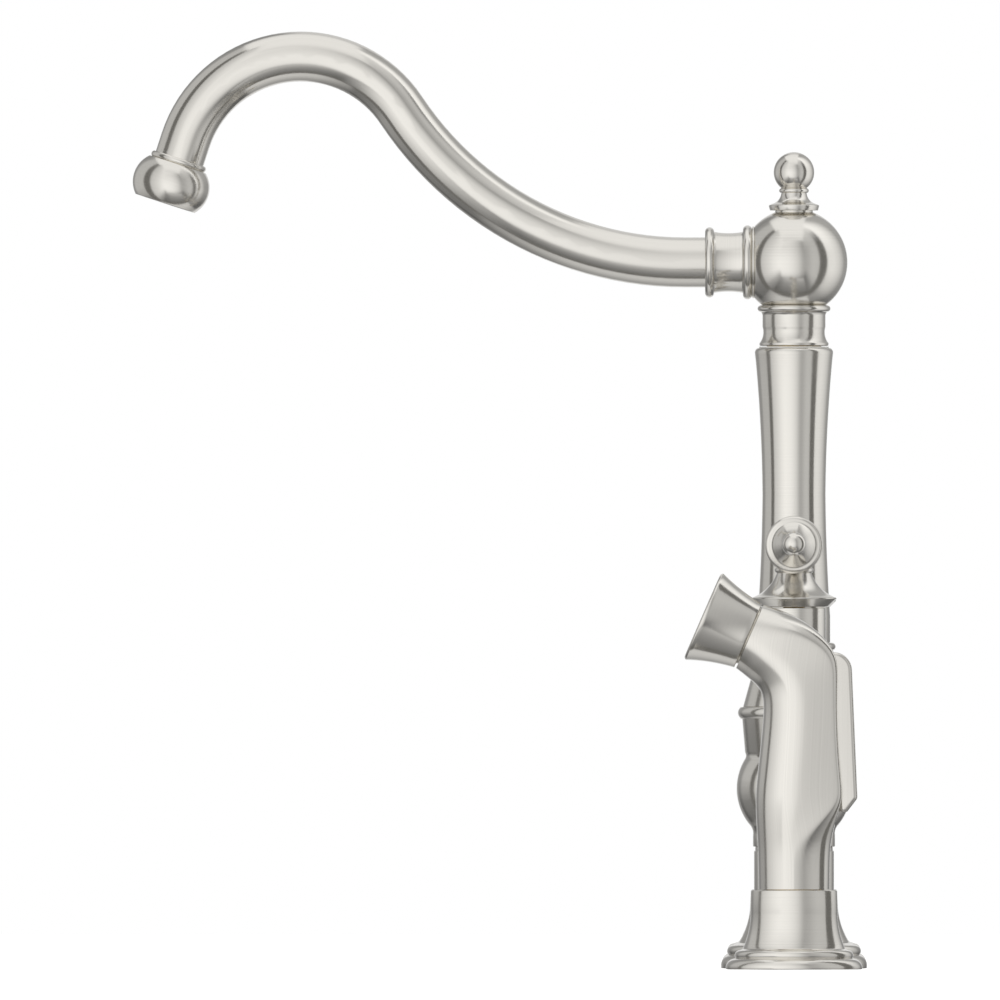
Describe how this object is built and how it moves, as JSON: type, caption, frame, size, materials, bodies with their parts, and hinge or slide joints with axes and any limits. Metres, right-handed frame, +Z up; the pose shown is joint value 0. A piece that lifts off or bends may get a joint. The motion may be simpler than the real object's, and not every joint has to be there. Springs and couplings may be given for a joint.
{
  "type": "bridge kitchen faucet with side sprayer",
  "caption": "Bridge kitchen faucet in brushed nickel: turned legs, lever handles, a tall column with a swivelling goose-neck spout, and a lift-out side sprayer in its own holder.",
  "frame": {"origin": "on the deck surface, midway between the axes of the two legs and under the spout's column", "axes": "+Z up, -Y towards the sink and the user, the way the spout points at rest, +X towards the cold leg and the sprayer"},
  "size_m": [0.3963, 0.2716, 0.4083],
  "materials": {
    "brushed_nickel": "fine brushed nickel",
    "plain_brass": "machined brass",
    "zinc_steel": "zinc plated",
    "black_rubber": "matt",
    "white_nylon": "satin",
    "grey_plastic": "satin"
  },
  "bodies": {
    "base": {"left_escutcheon": "brushed_nickel", "left_riser": "brushed_nickel", "left_shank": "plain_brass", "left_valve_body": "brushed_nickel", "left_cartridge": "plain_brass", "left_bonnet": "brushed_nickel", "left_bridge_arm": "brushed_nickel", "left_leg_collar": "brushed_nickel", "left_hub_collar": "brushed_nickel", "right_escutcheon": "brushed_nickel", "right_riser": "brushed_nickel", "right_shank": "plain_brass", "right_valve_body": "brushed_nickel", "right_cartridge": "plain_brass", "right_bonnet": "brushed_nickel", "right_bridge_arm": "brushed_nickel", "right_leg_collar": "brushed_nickel", "right_hub_collar": "brushed_nickel", "deck_gaskets": "black_rubber", "mounting_washers": "zinc_steel", "mounting_nuts": "plain_brass", "cartridge_nuts": "plain_brass", "centre_hub": "brushed_nickel", "hub_plug": "brushed_nickel", "diverter_body": "plain_brass", "column_base": "brushed_nickel", "column_lip": "brushed_nickel", "column": "brushed_nickel", "swivel_washer": "white_nylon", "spray_escutcheon": "brushed_nickel", "spray_guide": "white_nylon", "spray_gasket": "black_rubber", "spray_washer": "zinc_steel", "spray_nut": "plain_brass"},
    "spout": {"spout_spigot": "plain_brass", "spigot_seals": "black_rubber", "spout_neck": "brushed_nickel", "spout_ball": "brushed_nickel", "finial": "brushed_nickel", "spout_collar": "brushed_nickel", "spout_tube": "brushed_nickel", "nozzle": "brushed_nickel", "aerator_washer": "black_rubber", "aerator_insert": "white_nylon"},
    "hot_handle": {"left_handle_hub": "brushed_nickel", "left_lever": "brushed_nickel", "left_valve_stem": "plain_brass"},
    "cold_handle": {"right_handle_hub": "brushed_nickel", "right_lever": "brushed_nickel", "right_valve_stem": "plain_brass"},
    "diverter": {"diverter_piston": "plain_brass"},
    "sprayer": {"spray_grip": "brushed_nickel", "spray_head": "brushed_nickel", "spray_face": "grey_plastic", "spray_tail": "plain_brass", "trigger_pin": "zinc_steel"},
    "trigger": {"spray_trigger": "brushed_nickel"},
    "spray_valve": {"spray_plunger": "plain_brass"}
  },
  "joints": [
    {"name": "spout_swivel", "type": "hinge", "parent": "base", "child": "spout", "pos_m": [0, 0, 0.2292], "axis": [0, 0, 1], "continuous": true},
    {"name": "hot_turn", "type": "hinge", "parent": "base", "child": "hot_handle", "pos_m": [-0.1016, 0, 0.1327], "axis": [0, 0, 1], "range_deg": [0, 90]},
    {"name": "cold_turn", "type": "hinge", "parent": "base", "child": "cold_handle", "pos_m": [0.1016, 0, 0.1327], "axis": [0, 0, 1], "range_deg": [-90, 0]},
    {"name": "spray_lift", "type": "slide", "parent": "base", "child": "sprayer", "axis": [0, 0, 1], "range_m": [0, 0.15]},
    {"name": "trigger_press", "type": "hinge", "parent": "sprayer", "child": "trigger", "pos_m": [0.2032, 0.012, 0.1126], "axis": [1, 0, 0], "range_deg": [-4, 0], "stiffness_Nm_per_rad": 0.6, "springref_deg": 2.86},
    {"name": "spray_valve_slide", "type": "slide", "parent": "sprayer", "child": "spray_valve", "axis": [0, 1, 0], "range_m": [-0.0009, 0]},
    {"name": "diverter_slide", "type": "slide", "parent": "base", "child": "diverter", "axis": [0, 0, 1], "range_m": [0, 0.0042]}
  ],
  "couplings": [
    {"joint": "spray_valve_slide", "follows": "trigger_press", "m_per_rad": 0.0126},
    {"joint": "diverter_slide", "follows": "trigger_press", "m_per_rad": -0.0573}
  ]
}
